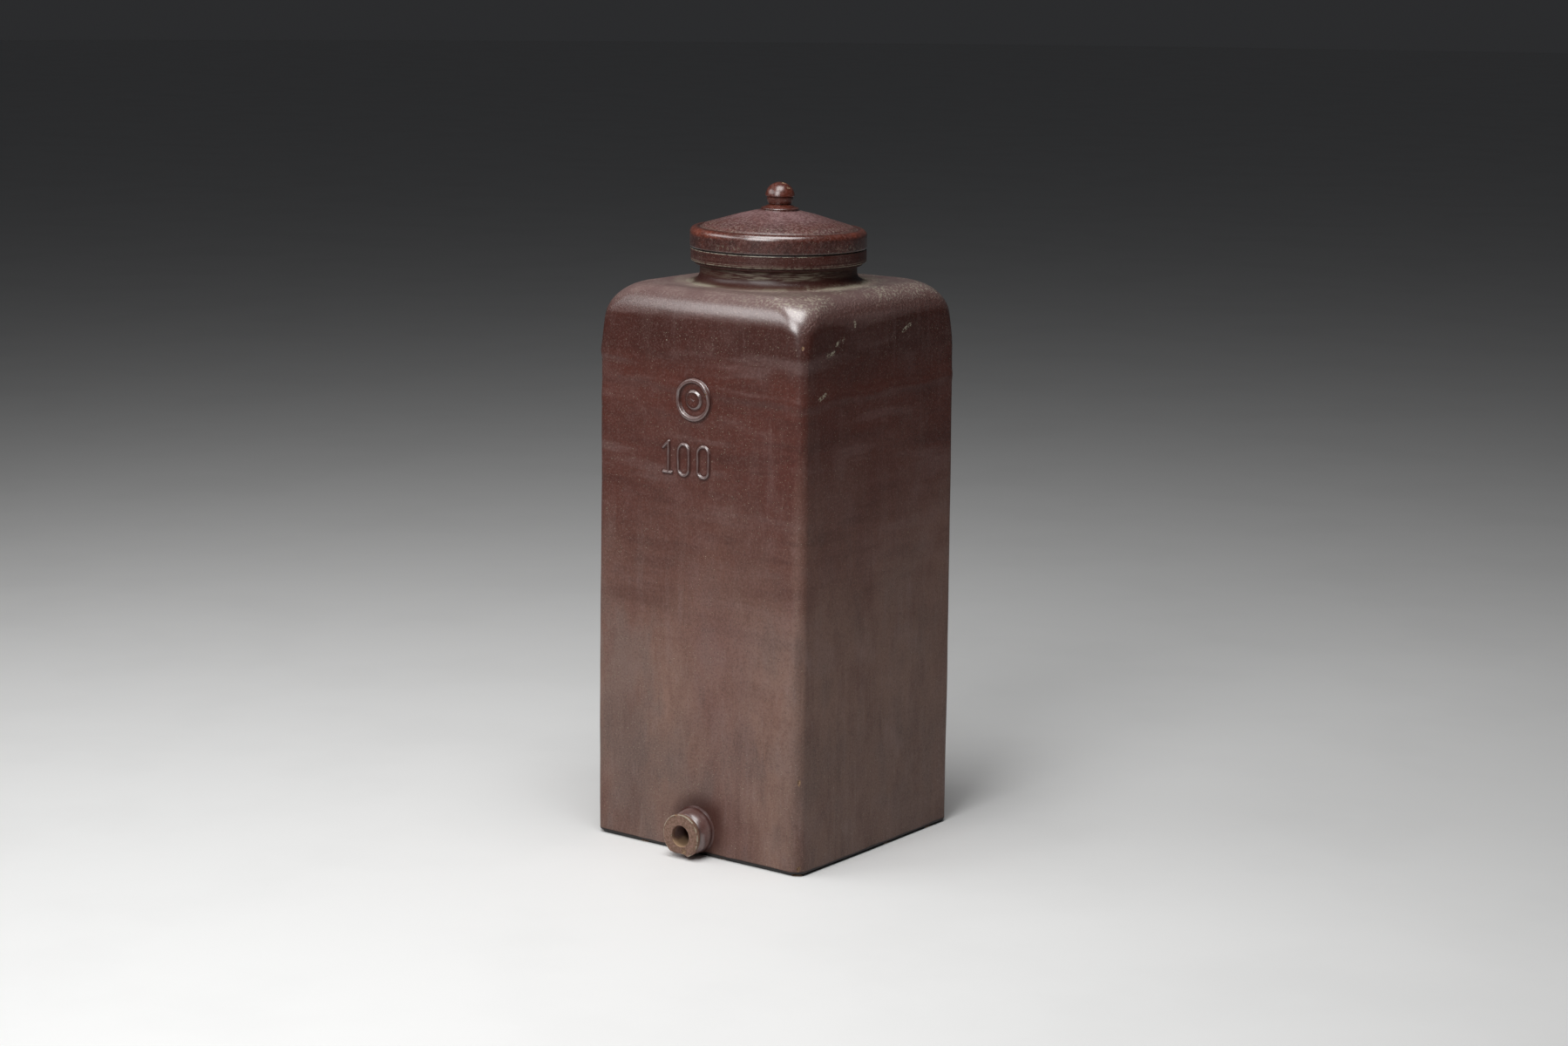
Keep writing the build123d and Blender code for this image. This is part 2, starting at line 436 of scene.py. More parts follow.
# Low folds on a wall, in millimetres: wall, middle across, middle height, slope, width, height, rise
FRONT, RIGHT = range(2)
FOLDS = (
    (FRONT, 115, 697, -0.04, 110, 9, 2.0),
    (FRONT, -40, 702, -0.06, 60, 9, 1.5),
    (FRONT, -115, 712, -0.05, 55, 9, 2.3),
    (FRONT, -145, 737, -0.12, 55, 9, 2.4),
    (FRONT, -75, 752, -0.05, 80, 11, 1.6),
    (FRONT, 70, 733, 0.04, 90, 10, 1.4),
    (FRONT, 120, 716, -0.08, 60, 8, 1.0),
    (FRONT, -85, 668, -0.05, 110, 12, 1.2),
    (FRONT, 165, 439, 0, 9, 9, 1.3),
    (FRONT, 60, 452, 0.02, 120, 9, 0.6),
    (FRONT, -95, 520, 0.15, 60, 20, 0.8),
    (RIGHT, 0, 697, 0.01, 300, 8, 1.1),
    (RIGHT, -40, 640, 0.05, 90, 14, 0.6),
)
# Chips, in millimetres and degrees. Edge chips: where the line towards the axis starts, size, lean
EDGE_CHIPS = (
    ((230, -230, 1), (9, 7, 4), (10, 10, 45)),
    ((230, -230, 12), (3, 3, 4), (0, 20, 45)),
    ((230, -230, 142), (2.4, 1.6, 5), (0, 4, 45)),
    ((230, -230, 777), (2.2, 1.4, 3), (0, 0, 45)),
    ((60, -230, 1), (6, 3, 3), (0, 10, 0)),
    ((-120, -230, 1.5), (9, 3, 2.4), (0, -8, 0)),
    ((230, 40, 1), (3, 7, 2.6), (0, 0, 0)),
    ((230, 172, 2), (3, 8, 3), (5, 0, 0)),
    ((-230, -230, 3), (5, 5, 4), (0, 0, -45)),
)
# Across, above the axis, size, lean, material number
SPOUT_CHIPS = (
    (-2, -36, (26, 9, 10.5), (6, 8, 0), 0),
    (27, -26, (7, 8, 17), (0, 47, 0), 0),
    (7, -23, (4.6, 1.3, 5.5), (0, 0, 0), 1),
    (-10.6, 33, (5.4, 2.2, 2.6), (0, 16, 0), 1),
    (31, -8, (2.2, 1.2, 2.6), (0, 0, 0), 0),
)
# Across, toward the camera, radius, how far its middle stands off the skin
KNOB_CHIPS = ((4.2, 6, 3.4, 2.6), (7, 5.5, 2.2, 1.4), (10.8, 13, 3.2, 2.4), (13.5, 11, 2.4, 1.8))
# Numerals, in millimetres: name, middle across, strokes as ends and the radius of a ring round them
NUMERAL_LEVEL = 596.5
NOUGHT = (((0, 11), (0, -15), 10),)
ONE = (((2.5, 22.8), (2.5, -22.5), 0), ((2, 22.5), (-7.5, 13.5), 0), ((-7, -22.8), (8, -22.8), 0))
NUMERALS = (
    ("numeral_one", -56, ONE),
    ("numeral_nought_left", -25, NOUGHT),
    ("numeral_nought_right", 11.6, NOUGHT),
)
# Leans of the fired body: direction, middle height, height, inward lean
LEANS = ((225, 780, 260, 1.5), (45, 30, 160, 1.6), (-45, 400, 300, 0.5))


def fold(wall, across, height):
    """How far the folds of a wall stand out at a place on it."""
    rise = 0
    for side, middle, level, slope, width, tall, amount in FOLDS:
        if side == wall:
            aside = across - middle * MM
            wave = min(1, width / 100) * 1.6 * MM * sin(aside / (21 * MM))
            above = height - level * MM - slope * aside - wave
            rise += amount * MM * swell(aside, width * MM) * swell(above, tall * MM)
    return rise


def unevenness(angle, height):
    """How far a wall stands out from its true face. It stays inside it, apart from the folds."""
    spot = round_axis(1.1, 3 * height, angle)
    proud = -0.7 + 0.8 * noise.noise(spot) + 0.35 * noise.noise(spot * 4 + Vector((7, 3, 1)))
    for direction, level, tall, lean in LEANS:
        apart = abs((angle - radians(direction) + pi) % FULL_TURN - pi)
        proud -= lean * swell(apart, 0.5) * swell(height - level * MM, tall * MM)
    return proud * MM


def wall_half(height):
    """Distance from the axis to the true face of a wall."""
    return JAR_HALF - (JAR_HALF - SHOULDER_HALF) * height / WALL_TOP


def front_face(across, height):
    """The place on the front wall, as it came from the kiln, at a distance across and a height."""
    angle = atan2(-wall_half(height), across)
    proud = unevenness(angle, height) + fold(FRONT, across, height)
    return Vector((across, -wall_half(height) - proud, height))


def skin_ring(angles, half, corner, height, uneven):
    """One ring of the jar's skin. Uneven is the share of the unevenness that it takes."""
    ring = []
    for angle in angles:
        proud = uneven * unevenness(angle, height)
        if sin(angle) < -0.7:
            proud += uneven * fold(FRONT, -half / tan(angle), height)
        elif cos(angle) > 0.7:
            proud += uneven * fold(RIGHT, half * tan(angle), height)
        reach = square_reach(angle, half + proud, min(corner, half + proud))
        ring.append(round_axis(reach, height, angle))
    return ring


def shoulder_sections(sizes, half, height, corner, top_corner, steps):
    """Sections of the shoulder as half width, corner radius and height."""
    upright = height - sizes.face_rise
    outline = [(0, upright * step / steps) for step in range(steps + 1)]
    outline += quarter((0, upright), (sizes.face_across, height), steps, False)
    sections = []
    for inset, rise in outline:
        opened = max(0, rise - height + sizes.corner_rise) / sizes.corner_rise
        rounding = corner + (top_corner - corner) * opened**CORNER_POWER
        sections.append((half - inset, rounding, WALL_TOP + rise))
    return sections


def between(start, end, steps):
    """Sections from one to another, without the first."""
    pairs = list(zip(start, end))
    return [tuple(a + (b - a) * step / steps for a, b in pairs) for step in range(1, steps + 1)]


def neck_outline(sizes):
    """Outline of the neck from the end of its sweep, over the flange and down the mouth."""
    bead = SHOULDER_TOP + sizes.bead_top
    flange_foot = SEAT_TOP - sizes.flange_height
    neck, beaded, flange = sizes.neck_radius, sizes.bead_radius, sizes.flange_radius
    mouth, bevel = sizes.mouth_radius, sizes.seat_bevel
    corners = [
        (neck, SHOULDER_TOP + sizes.flare_rise, 0),
        (neck, bead - 6 * MM, 1.5 * MM),
        (beaded, bead - 3.5 * MM, 1.2 * MM),
        (beaded, bead - 0.4 * MM, 0.5 * MM),
        (flange - 0.6 * MM, flange_foot - 0.6 * MM, 0.4 * MM),
        (flange, flange_foot + 0.6 * MM, 0.4 * MM),
        (flange, SEAT_TOP - bevel, bevel),
        (flange - bevel, SEAT_TOP, bevel / 2),
        (mouth + bevel, SEAT_TOP, bevel / 2),
        (mouth, SEAT_TOP - bevel, bevel),
        (mouth, SHOULDER_TOP - sizes.wall + 4 * MM, 0),
        (mouth + 4 * MM, SHOULDER_TOP - sizes.wall, 0),
    ]
    return spaced(rounded_outline(corners), 4 * MM)


def body_skin(sizes):
    """The whole skin of the jar, outside and inside, as one closed mesh."""
    corner, inner = sizes.corner_rounding, sizes.inner_rounding
    foot = JAR_HALF - sizes.foot_chamfer
    wall_corners = [
        (foot / 2, 0, 0),
        (foot, 0, 1.2 * MM),
        (JAR_HALF, sizes.foot_chamfer, 4 * MM),
        (SHOULDER_HALF, WALL_TOP, 0),
    ]
    corners = rounded_outline(wall_corners)
    folded = [corners[-2].lerp(corners[-1], share) for share in (0.88, 0.98)]
    wall_outline = spaced(corners[:-1] + folded[:1], 6 * MM)[:-1]
    wall_outline += spaced(folded, 2.4 * MM) + [corners[-1]]
    outside = [(half, corner, height) for half, height in wall_outline[:-1]]
    rise = SHOULDER_TOP - WALL_TOP
    outside += shoulder_sections(sizes, SHOULDER_HALF, rise, corner, sizes.top_rounding, 16)
    flare_foot = sizes.neck_radius + sizes.flare_across
    outside += between(outside[-1], (flare_foot, flare_foot, SHOULDER_TOP), 8)
    neck_foot = (sizes.neck_radius, SHOULDER_TOP + sizes.flare_rise)
    neck = quarter((flare_foot, SHOULDER_TOP), neck_foot, 10, True)[:-1] + neck_outline(sizes)

    under_rise = rise - sizes.wall
    half_inside = SHOULDER_HALF - sizes.wall
    hollow = shoulder_sections(sizes, half_inside, under_rise, inner, sizes.top_rounding_inside, 8)[::-1]
    last = neck[-1]
    inside = between((last.x, last.x, last.y), hollow[0], 4) + hollow[1:]
    inside += between(hollow[-1], (JAR_HALF - sizes.wall, inner, FLOOR_TOP), 14)
    inside += between(inside[-1], (JAR_HALF / 3, inner, FLOOR_TOP), 2)

    angles = column_angles(JAR_HALF, corner, 26, 6)
    rings = [skin_ring(angles, half, round_, height, 1) for half, round_, height in outside]
    for radius, height in neck:
        rings.append([askew(place) for place in skin_ring(angles, radius, radius, height, 0.15)])
    rings += [skin_ring(angles, half, round_, height, 0) for half, round_, height in inside]
    body = skin("jar_body", rings, Vector((0, 0, 0)), Vector((0, 0, FLOOR_TOP)))
    first_inside = (len(outside) + len(neck) - 1) * len(angles)
    for face in body.data.polygons:
        face.material_index = int(first_inside <= face.index < len(rings) * len(angles))
    return body


# Materials


class Signal:
    """A number or colour that varies over a surface. Arithmetic on it adds Math nodes."""

    def __init__(self, finish, socket):
        self.finish = finish
        self.socket = socket

    def reckoned(self, operation, first, second):
        return self.finish.add("ShaderNodeMath", {"operation": operation}, {0: first, 1: second})

    def __add__(self, other):
        return self.reckoned("ADD", self, other)

    def __sub__(self, other):
        return self.reckoned("SUBTRACT", self, other)

    def __rsub__(self, other):
        return self.reckoned("SUBTRACT", other, self)

    def __mul__(self, other):
        return self.reckoned("MULTIPLY", self, other)

    def __abs__(self):
        return self.reckoned("ABSOLUTE", self, 0)

    def least(self, other):
        return self.reckoned("MINIMUM", self, other)

    __radd__ = __add__
    __rmul__ = __mul__


class Finish:
    """A material in the making, with its principled shader and its nodes."""

    def __init__(self, name):
        self.material = bpy.data.materials.new(name)
        self.material.use_nodes = True
        self.tree = self.material.node_tree
        self.tree.nodes.clear()
        self.shader = self.tree.nodes.new("ShaderNodeBsdfPrincipled")
        output = self.tree.nodes.new("ShaderNodeOutputMaterial")
        self.tree.links.new(self.shader.outputs[0], output.inputs[0])
        self.place = self.add("ShaderNodeTexCoord", {}, {}, "Object")
        self.x, self.y, self.z = self.parts(self.place)
        level = self.add("ShaderNodeCombineXYZ", {}, {0: self.x, 1: self.y})
        self.radius = self.vector("LENGTH", {0: level}, 1)
        facing = self.add("ShaderNodeTexCoord", {}, {}, "Normal")
        self.up = self.parts(facing)[2]
        self.to_left = self.x * -cos(VIEW_AZIMUTH) - self.y * sin(VIEW_AZIMUTH)
        self.level = self.z - NECK_LEAN * self.to_left

    def add(self, kind, settings, sockets, output=0):
        """Adds a node, gives it its settings, then the values or links of its sockets."""
        node = self.tree.nodes.new(kind)
        for name, value in settings.items():
            setattr(node, name, value)
        for key, value in sockets.items():
            self.feed(node.inputs[key], value)
        return Signal(self, node.outputs[output])

    def vector(self, operation, sockets, output=0):
        return self.add("ShaderNodeVectorMath", {"operation": operation}, sockets, output)

    def feed(self, socket, value):
        if isinstance(value, Signal):
            self.tree.links.new(value.socket, socket)
        else:
            socket.default_value = value

    def parts(self, vector):
        node = self.add("ShaderNodeSeparateXYZ", {}, {0: vector}).socket.node
        return [Signal(self, output) for output in node.outputs]

    def fade(self, signal, start, end):
        """0 below the start, 1 beyond the end, and smooth between them."""
        return self.add(
            "ShaderNodeMapRange",
            {"interpolation_type": "SMOOTHSTEP"},
            {"Value": signal, "From Min": start, "From Max": end},
        )

    def band(self, signal, middle, width):
        """1 at the middle of a band, fading to 0 at its width."""
        return self.fade(abs(signal - middle), width, 0.4 * width)

    def mottle(self, scale, detail=2, stretch=(1, 1, 1), shift=0):
        """Noise with a number of spots to the metre, more or fewer along each axis."""
        scales = [scale * share for share in stretch]
        stretched = self.vector("MULTIPLY_ADD", {0: self.place, 1: scales, 2: (shift, shift, shift)})
        return self.add("ShaderNodeTexNoise", {}, {"Vector": stretched, "Scale": 1, "Detail": detail})

    def painted(self, base, *layers):
        """A colour under layers of (mask, colour), each laid over the last where its mask says."""
        for mask, above in layers:
            below, above = [c if isinstance(c, Signal) else (*c, 1) for c in (base, above)]
            base = self.add("ShaderNodeMix", {"data_type": "RGBA"}, {0: mask, 6: below, 7: above}, 2)
        return base

    def seen_from_front(self):
        """The place across the front wall and up it."""
        return self.add("ShaderNodeCombineXYZ", {}, {0: self.x, 1: self.z})

    def apart(self, place, point):
        """Distance of a place from a point."""
        return self.vector("DISTANCE", {0: place, 1: Vector(point).to_3d()}, 1)

    def near_line(self, place, start, end):
        """Distance of a place from a straight line between two ends."""
        start, along = Vector(start).to_3d(), (Vector(end) - Vector(start)).to_3d()
        offset = self.vector("SUBTRACT", {0: place, 1: start})
        dot = self.vector("DOT_PRODUCT", {0: offset, 1: along}, 1)
        clamped = {"operation": "MULTIPLY", "use_clamp": True}
        share = self.add("ShaderNodeMath", clamped, {0: dot, 1: 1 / along.length_squared})
        foot = self.vector("SCALE", {0: along, "Scale": share})
        return self.vector("DISTANCE", {0: offset, 1: foot}, 1)

    def done(self, base, rough, relief, relief_height, coat=0):
        """Feeds the shader and gives back the material. Coat is the share of clear glaze over it."""
        heights = {"Strength": 1, "Distance": relief_height, "Height": relief}
        fed = {
            "Base Color": base,
            "Roughness": rough,
            "IOR": 1.42,
            "Coat Weight": coat,
            "Coat Roughness": 0.28,
            "Coat IOR": 1.9,
            "Normal": self.add("ShaderNodeBump", {}, heights),
        }
        for name, value in fed.items():
            self.feed(self.shader.inputs[name], value)
        return self.material


# Zones of another tone low on the front wall, in millimetres: ends of a line, reach, colour, amount
ZONES = (
    ((40, 330), (60, 60), 90, "plum", 0.28),
    ((-150, 300), (-120, 50), 80, "cool", 0.6),
    ((-60, 150), (-10, 110), 60, "cool", 0.4),
    ((165, 330), (175, 40), 40, "cool", 0.2),
)
# Scratches on the right wall and the shoulder, as ends along Y and heights
SCRATCHES = (
    ((-114.6, 775.2), (-95.7, 782.1)),
    ((-135.3, 759.8), (-118.6, 764.3)),
    ((52.0, 779.5), (70.1, 787.3)),
    ((-68.5, 805.9), (-68.3, 798.3)),
    ((-153.0, 700.3), (-138.5, 706.1)),
)


def peel(finish):
    """Height of the orange peel that salt leaves on a glaze."""
    return finish.mottle(85, 2) * 0.5 + finish.mottle(320, 1) * 0.3 + finish.mottle(900, 1) * 0.08


def flecked(finish, base, colours):
    """A glaze with its fine grain, its iron spots and its pale pinpoints."""
    grain = finish.mottle(330, 4, shift=7)
    return finish.painted(
        base,
        (finish.fade(grain, 0.50, 0.36) * 0.20, colours.dark_iron),
        (finish.fade(grain, 0.50, 0.68) * 0.10, colours.bloom),
        (finish.fade(finish.mottle(480, 1, shift=3), 0.66, 0.76) * 0.5, colours.dark_iron),
        (finish.fade(finish.mottle(560, 1, shift=9), 0.715, 0.76) * 0.6, colours.deposit),
    )


def wall_glaze(finish, colours, rich, patches, on_right, in_front):
    """Colour of the walls, from the mask of rich oxblood: thin and greyed where that is low."""
    fade, mottle = finish.fade, finish.mottle
    oxblood, cool, deep, bloom, iron = [
        getattr(colours, name) for name in ("oxblood", "cool", "deep", "bloom", "dark_iron")
    ]

    def veined(base, field, *tones):
        """Tones where a noise runs high or low: from, to, amount where thin and where rich, colour."""
        for start, end, thin, thick, tone in tones:
            base = finish.painted(base, (fade(field, start, end) * (thin + (thick - thin) * rich), tone))
        return base

    drips = mottle(75, 5, (1, 1, 0.06))
    broad = mottle(8, 5, (1, 1, 0.6), 21)
    gusts = fade(mottle(6, 3, shift=31), 0.42, 0.62)
    brushed = mottle(34, 4, (0.14, 0.14, 1), 13)
    smeared = mottle(26, 5, (1, 1, 0.4), 17)
    hairs = mottle(150, 5, (1, 1, 0.16), 37)
    pooled = fade(finish.z + 0.05 * patches, 0.735, 0.79) * 0.95
    base = finish.painted(colours.greyed, (rich, oxblood), (pooled, deep))
    base = veined(base, patches, (0.50, 0.68, 0.16, 0.06, bloom), (0.50, 0.34, 0.12, 0.24, deep))
    for start, end, tone in ((0.52, 0.70, bloom), (0.48, 0.32, deep)):
        base = finish.painted(base, (fade(drips, start, end) * gusts * (0.20 - 0.12 * rich), tone))
    base = veined(base, broad, (0.52, 0.66, 0.30, 0.05, cool), (0.48, 0.36, 0.34, 0.18, oxblood))
    base = veined(base, brushed, (0.52, 0.68, 0, 0.14, bloom), (0.48, 0.34, 0, 0.40, deep))
    for start, end, reach, tone, amount in ZONES:
        away = finish.near_line(finish.seen_from_front(), Vector(start) * MM, Vector(end) * MM)
        zone = fade(away + (0.5 - smeared) * 0.16, reach * MM, reach * 0.2 * MM)
        base = finish.painted(base, (zone * in_front * amount, getattr(colours, tone)))
    base = veined(base, smeared, (0.52, 0.64, 0.26, 0.06, cool), (0.48, 0.36, 0.20, 0.12, oxblood))
    # A darker belt about 120 mm up, darker low on the right wall, and painted shade that deepens towards
    # the floor
    low = finish.band(finish.z, 0.12, 0.13) * 0.17 + fade(finish.z, 0.05, 0) * 0.18
    base = finish.painted(base, (low, iron), (on_right * fade(finish.z, 0.5, 0.3) * 0.23, iron))
    base = veined(base, hairs, (0.54, 0.70, 0.12, 0.036, bloom), (0.46, 0.30, 0.14, 0.042, deep))
    return flecked(finish, base, colours)


def relief_masks(finish):
    """Where the roundel and numerals stand up, where it is darker round them, and where glaze pooled
    round the spout.
    """
    level = finish.seen_from_front()
    from_roundel = finish.apart(level, ROUNDEL_MIDDLE.xz)
    nearest = (abs(from_roundel - 28.5 * MM) - 1.2 * MM).least(abs(from_roundel - 13 * MM))
    for _, middle, strokes in NUMERALS:
        for start, end, ring in strokes:
            start, end = [Vector((middle + x, NUMERAL_LEVEL + z)) * MM for x, z in (start, end)]
            nearest = nearest.least(abs(finish.near_line(level, start, end) - ring * MM))
    spout = Vector((7 * MM, SPOUT_HEIGHT + 5 * MM))
    round_spout = finish.fade(finish.near_line(level, spout, spout * 1.1), 62 * MM, 34 * MM) * 0.75
    pooled = finish.fade(nearest, 6 * MM, 2.4 * MM) * 0.9 + round_spout
    return finish.fade(nearest, 1.9 * MM, 0.8 * MM), pooled


def crust_mask(finish, aside):
    """Lime at the foot of the neck, crust under the flange and pale worn edges on it."""
    fade, band, mottle, radius = finish.fade, finish.band, finish.mottle, finish.radius
    lime = band(radius, 0.132, 0.008) * 0.7 + band(radius, 0.140, 0.022) * 0.5
    lime = lime * band(finish.z, SHOULDER_TOP, 8 * MM) * (0.55 + 0.45 * fade(aside, 0.04, 0.12))
    lime = lime * (0.2 + 0.8 * fade(mottle(20, 5, shift=4), 0.38, 0.66))
    crusted = band(finish.z, FLANGE_FOOT - 12.5 * MM, 9 * MM) * fade(radius, 0.129, 0.123)
    crusted = crusted * (0.25 + 0.75 * fade(aside, 0.09, 0.05))
    crusted = crusted * fade(mottle(45, 6, (1, 1, 12)), 0.40, 0.62)
    worn = fade(mottle(120, 3, shift=6), 0.34, 0.54) * fade(radius, 0.129, 0.1302)
    seat_edge = band(finish.level, SEAT_TOP - 1.9 * MM, 0.5 * MM) * fade(finish.to_left, -0.07, -0.03)
    foot_edge = band(finish.level, FLANGE_FOOT + 0.2 * MM, 0.9 * MM)
    foot_edge = foot_edge + band(finish.level, FLANGE_FOOT + 2.8 * MM, 0.5 * MM) * 0.5
    return lime * 0.5 + crusted * 0.45 + (seat_edge * 0.75 + foot_edge * 0.6) * worn


def scratch_masks(finish, on_right, rich):
    """Scratches, a fine seam and smudges on the right wall."""
    fade = finish.fade
    scraped = 0
    for scratch in SCRATCHES:
        start, end = [Vector((SHOULDER_HALF, y * MM, z * MM)) for y, z in scratch]
        scraped = fade(finish.near_line(finish.place, start, end), 3.6 * MM, 2.4 * MM) + scraped
    seam = finish.near_line(finish.place, (JAR_HALF, 0.115, 0.012), (JAR_HALF, 0.113, 0.13))
    smudged = on_right * fade(finish.mottle(15, 3, (1, 1, 0.7), 41), 0.60, 0.70) * (1 - 0.8 * rich)
    scraped = scraped * fade(finish.mottle(420, 3, shift=1), 0.49, 0.54)
    return scraped, fade(seam, 2.4 * MM, 1 * MM), smudged


def body_glaze(colours):
    """Salt glaze of the body: oxblood above, thin and greyed below, with a bloom on what faces up, and
    with painted sheen, painted highlights and painted shadows.
    """
    finish = Finish("body_glaze")
    fade, band, mottle = finish.fade, finish.band, finish.mottle
    x, y, z, up, radius = finish.x, finish.y, finish.z, finish.up, finish.radius
    clouds = mottle(5, 4)
    patches = mottle(19, 5, shift=11)
    on_right = fade(x, JAR_HALF - 25 * MM, JAR_HALF - 10 * MM)
    in_front = fade(y, -JAR_HALF + 25 * MM, -JAR_HALF + 10 * MM)
    rich = fade(z + 0.22 * clouds + 0.08 * patches - 0.08 * on_right, 0.28, 0.76)
    raised, pooled = relief_masks(finish)
    raised = raised * in_front

    faces_up = fade(up, 0.35, 0.95)
    granular = fade(mottle(260, 6, shift=2), 0.46, 0.64)
    hazed = faces_up * (0.6 + 0.25 * fade(clouds * 0.5 + patches * 0.5, 0.34, 0.66) + 0.15 * granular)
    hazed = hazed * fade(radius, 0.128, 0.138)
    lit = 0.25 + 0.75 * fade(x - y * 0.3, -0.11, 0.15)
    rolled = band(up, 0.5, 0.45) * fade(radius, 0.15, 0.17)
    dust = faces_up * (0.15 + 0.85 * fade(x + y * 0.4, -0.10, 0.12))
    dust = dust * granular * fade(patches, 0.36, 0.60)

    sweep = fade(radius, 0.134, 0.124) * fade(z, FLANGE_FOOT - 3 * MM, FLANGE_FOOT - 7 * MM)
    on_flange = fade(finish.level, FLANGE_FOOT - 1.5 * MM, FLANGE_FOOT - 0.5 * MM)
    on_flange = on_flange * fade(radius, 0.129, 0.1302)
    scored = mottle(9, 5, (1, 1, 70), 23)
    crust = crust_mask(finish, abs(finish.to_left))
    # Painted shadow: the top edge of the flange is painted black where the seat gap lies in shade
    gap = fade(finish.level, SEAT_TOP - 1.5 * MM, SEAT_TOP - 1.1 * MM)
    seat = fade(up, 0.9, 0.98) * fade(radius, 0.1305, 0.1295) * gap
    ground = finish.painted(colours.ground, (fade(mottle(300, 5), 0.38, 0.62), colours.clay))
    scraped, seam, smudged = scratch_masks(finish, on_right, rich)

    base = finish.painted(
        wall_glaze(finish, colours, rich, patches, on_right, in_front),
        # Darker round the roundel and numerals, and pooled glaze round the spout
        (pooled * in_front, colours.deep),
        # Painted highlight: the tops of the roundel and numerals are painted lighter
        (raised * 0.26, colours.bloom),
        # Painted highlight: sheen along the shoulder's roll, brighter on the side that the lamps light
        (rolled * (0.16 + 0.14 * granular) * lit, colours.sheen),
        # Bloom on what faces up, painted lighter on the shoulder's top as painted reflection
        (hazed * 0.62, colours.bloom),
        (dust * 0.7, colours.deposit),
        # Painted shade: the neck's sweep is painted darker under the flange's overhang
        (sweep * fade(z, WALL_TOP, SHOULDER_TOP) * 0.7, colours.deep),
        (on_flange * fade(scored, 0.50, 0.66) * 0.18, colours.cool),
        (on_flange * fade(scored, 0.48, 0.34) * 0.5, colours.dark_iron),
        (crust, colours.deposit),
        # painted shadow in the seat gap
        (gap, colours.soot),
        (seat, ground),
        # Painted shadow: black round the foot's chamfer where the jar meets the floor
        (fade(z + 5 * MM * patches, 10.5 * MM, 8.5 * MM), colours.soot),
        (scraped * 0.75, colours.deposit),
        (seam * 0.45, colours.dark_iron),
        (smudged * 0.16, colours.bloom),
    )
    on_shoulder = fade(up, 0.04, 0.25) * (0.25 + 0.75 * fade(radius, 0.142, 0.152)) * (1 - seat)
    rough = 0.52 - 0.10 * rich + 0.06 * clouds + 0.06 * patches + (crust + seat) * 0.25
    rough = rough - 0.24 * raised - 0.10 * on_shoulder
    coat = 0.04 + 0.96 * on_shoulder * lit * (1 - 0.5 * sweep) + 0.8 * raised
    return finish.done(base, rough, peel(finish) + 0.5 * rolled * granular, 1.1 * MM, coat)


def lid_glaze(colours):
    """Glaze of the lid and knob: a dull purple dome inside a bright orange roll."""
    finish = Finish("lid_glaze")
    fade, band, mottle = finish.fade, finish.band, finish.mottle
    z, up, radius, level = finish.z, finish.up, finish.radius, finish.level
    patches = mottle(30, 5)
    on_dome = fade(radius, 0.119, 0.113) * fade(radius, 0.026, 0.034) * fade(up, 0.6, 0.9)
    dulled = on_dome * (0.5 + 0.5 * fade(patches, 0.3, 0.7)) * (1 - 0.65 * fade(radius, 0.05, 0.095))
    on_roll = band(z, LID_SEAT + 26 * MM, 8 * MM) * fade(radius, 0.119, 0.124)
    on_roll = on_roll * (0.25 + 0.75 * fade(abs(finish.to_left), 0.06, 0.12))
    on_knob = fade(z, DOME_TOP + 1 * MM, DOME_TOP + 4 * MM)
    grooved = band(radius, 0.1155, 0.003) * fade(up, 0.6, 0.9)
    grainy = mottle(230, 5, shift=15)
    speckles = fade(mottle(420, 3), 0.58, 0.66) * on_dome * (0.25 + 0.75 * fade(radius, 0.085, 0.108))
    powdered = fade(radius, 0.129, 0.131) * band(level, LID_SEAT + 6 * MM, 7 * MM)
    powdered = powdered * fade(mottle(260, 4, shift=12), 0.52, 0.64) * fade(mottle(14, 3), 0.4, 0.6)
    under = fade(up, -0.9, -0.98)
    ground = finish.painted(colours.ground, (fade(grainy, 0.38, 0.62), colours.clay))
    base = finish.painted(
        colours.oxblood,
        (fade(patches, 0.35, 0.65), colours.deep),
        (dulled, colours.dome),
        (on_roll * (0.2 + 0.7 * fade(patches, 0.35, 0.65)), colours.orange_rim),
        (on_knob * 0.3, colours.orange_rim),
        (grooved * 0.5, colours.cool),
        (fade(grainy, 0.50, 0.64) * (0.12 + 0.2 * on_dome), colours.bloom),
        (fade(grainy, 0.50, 0.38) * 0.35, colours.dark_iron),
    )
    base = finish.painted(
        flecked(finish, base, colours),
        (speckles * 0.5, colours.deposit),
        (powdered * 0.25, colours.deposit),
        # Painted shadow: black on the lid's lower edge where it goes into the seat gap
        (fade(level, LID_SEAT + 1.5 * MM, LID_SEAT + 1.1 * MM), colours.soot),
        (under * fade(radius, 0.131, 0.130), ground),
    )
    rough = 0.24 + 0.18 * on_dome + 0.10 * patches
    coat = 0.9 - 0.6 * on_dome - 0.2 * under - 0.4 * on_knob
    return finish.done(base, rough, peel(finish), 0.6 * MM, coat)


